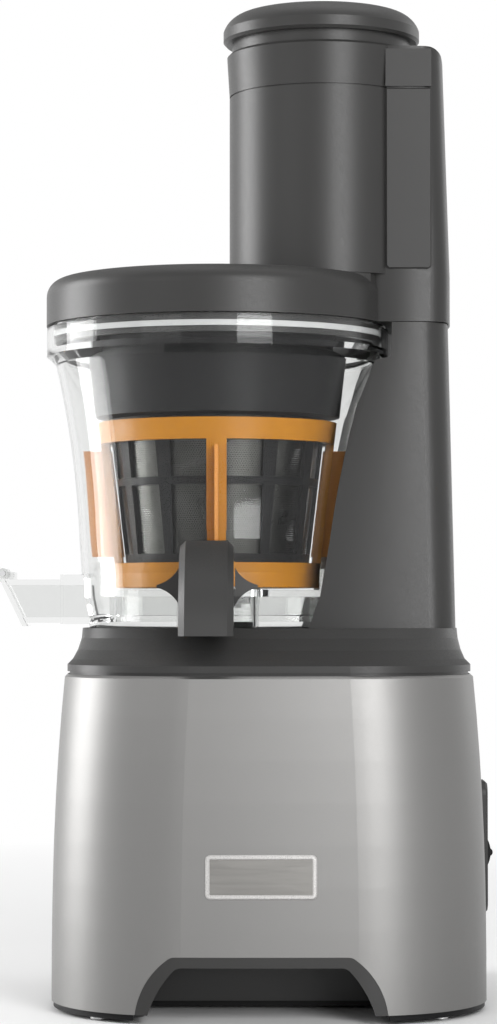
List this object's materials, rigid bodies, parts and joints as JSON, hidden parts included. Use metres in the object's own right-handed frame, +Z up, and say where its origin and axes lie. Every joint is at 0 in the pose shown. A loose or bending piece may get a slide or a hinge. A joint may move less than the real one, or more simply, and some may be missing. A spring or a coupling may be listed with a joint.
{
  "type": "cold press juicer",
  "caption": "Upright cold press juicer: silver motor base with arm, clear bowl with orange wiper cage and steel strainer, dark lid, wide feed tube and mushroom pusher.",
  "frame": {"origin": "on the scroll's upright axis, at the surface the feet stand on", "axes": "+X from the scroll's axis towards the arm, +Y to the back, +Z up"},
  "size_m": [0.2231, 0.2076, 0.4483],
  "materials": {
    "satin_silver": "satin",
    "dark_plastic": "satin",
    "black_plastic": "matte",
    "clear_plastic": "clear, polished",
    "orange_plastic": "satin",
    "silicone_grey": "matte",
    "silicone_orange": "matte",
    "silicone_black": "matte",
    "foot_rubber": "matte",
    "mesh_steel": "perforated, fine",
    "shaft_steel": "ground",
    "core_steel": "laminated",
    "screw_steel": "plated",
    "gear_nylon": "satin",
    "case_alloy": "cast",
    "pin_steel": "polished",
    "bronze": "sintered",
    "board_green": "satin",
    "magnet_nickel": "plated"
  },
  "bodies": {
    "base": {"base_housing": "satin_silver", "arch_liner": "dark_plastic", "base_plate": "black_plastic", "feet": "foot_rubber", "housing_screws": "screw_steel", "control_board": "board_green", "switch_bezel": "dark_plastic", "switch_body": "black_plastic", "cord_gland": "black_plastic", "gland_nut": "black_plastic", "deck_cover": "dark_plastic", "arm_rear_cover": "dark_plastic", "shaft_seal": "silicone_black", "reed_sensor": "black_plastic", "gearcase_lower": "case_alloy", "gearcase_upper": "case_alloy", "gearcase_screws": "screw_steel", "mount_screws": "screw_steel", "motor_mounts": "foot_rubber", "shaft_bearings": "bronze", "layshaft_pin": "pin_steel", "motor_can": "core_steel", "stator_core": "core_steel", "motor_bearings": "bronze"},
    "rocker": {"switch_rocker": "black_plastic"},
    "drive": {"drive_shaft": "shaft_steel", "output_gear": "gear_nylon"},
    "layshaft": {"compound_gear": "gear_nylon"},
    "rotor": {"rotor_shaft": "shaft_steel", "rotor_core": "core_steel", "cooling_fan": "black_plastic"},
    "bowl": {"juicing_bowl": "clear_plastic", "bowl_center_seal": "silicone_grey", "idler_pin": "pin_steel", "pulp_plug": "silicone_grey", "pulp_chute": "dark_plastic", "cap_pin": "pin_steel", "strainer_frame": "black_plastic", "strainer_mesh": "mesh_steel"},
    "idler": {"idler_gear": "gear_nylon"},
    "wiper": {"wiper_cage": "orange_plastic", "wiper_blades": "silicone_orange"},
    "scroll": {"scroll": "black_plastic", "scroll_hex": "shaft_steel"},
    "spout_cap": {"spout_cap": "clear_plastic"},
    "lid": {"lid_shell": "dark_plastic", "scroll_bush": "bronze", "lid_seal": "silicone_grey", "lid_magnet": "magnet_nickel", "feed_tower": "dark_plastic", "tower_panel": "dark_plastic", "tower_rim": "dark_plastic"},
    "pusher": {"plunger": "dark_plastic", "pusher_head": "dark_plastic", "pusher_plate": "dark_plastic"}
  },
  "joints": [
    {"name": "switch_rock", "type": "hinge", "parent": "base", "child": "rocker", "pos_m": [0.1105, 0, 0.065], "axis": [0, 1, 0], "range_deg": [-12, 12]},
    {"name": "drive_spin", "type": "hinge", "parent": "base", "child": "drive", "pos_m": [0, 0, 0.12], "axis": [0, 0, 1], "continuous": true},
    {"name": "layshaft_spin", "type": "hinge", "parent": "base", "child": "layshaft", "pos_m": [0.04605, 0.01676, 0.107], "axis": [0, 0, 1], "continuous": true},
    {"name": "rotor_spin", "type": "hinge", "parent": "base", "child": "rotor", "pos_m": [0.01962, 0.03893, 0.06], "axis": [0, 0, 1], "continuous": true},
    {"name": "bowl_lift", "type": "slide", "parent": "base", "child": "bowl", "axis": [0, 0, 1], "range_m": [0, 0.06]},
    {"name": "scroll_spin", "type": "hinge", "parent": "bowl", "child": "scroll", "pos_m": [0, 0, 0.19], "axis": [0, 0, 1], "continuous": true},
    {"name": "idler_spin", "type": "hinge", "parent": "bowl", "child": "idler", "pos_m": [0.0135, 0.02338, 0.187], "axis": [0, 0, 1], "continuous": true},
    {"name": "wiper_spin", "type": "hinge", "parent": "bowl", "child": "wiper", "pos_m": [0, 0, 0.19], "axis": [0, 0, 1], "continuous": true},
    {"name": "cap_hinge", "type": "hinge", "parent": "bowl", "child": "spout_cap", "pos_m": [-0.0967, 0, 0.19045], "axis": [0, 1, 0], "range_deg": [0, 110]},
    {"name": "lid_lift", "type": "slide", "parent": "bowl", "child": "lid", "axis": [0, 0, 1], "range_m": [0, 0.1]},
    {"name": "pusher_slide", "type": "slide", "parent": "lid", "child": "pusher", "axis": [0, 0, 1], "range_m": [0, 0.105]}
  ],
  "couplings": [
    {"joint": "scroll_spin", "follows": "drive_spin", "ratio": 1},
    {"joint": "idler_spin", "follows": "drive_spin", "ratio": -1.0769},
    {"joint": "wiper_spin", "follows": "drive_spin", "ratio": -0.35},
    {"joint": "layshaft_spin", "follows": "drive_spin", "ratio": -3.4545},
    {"joint": "rotor_spin", "follows": "drive_spin", "ratio": 12.436}
  ]
}
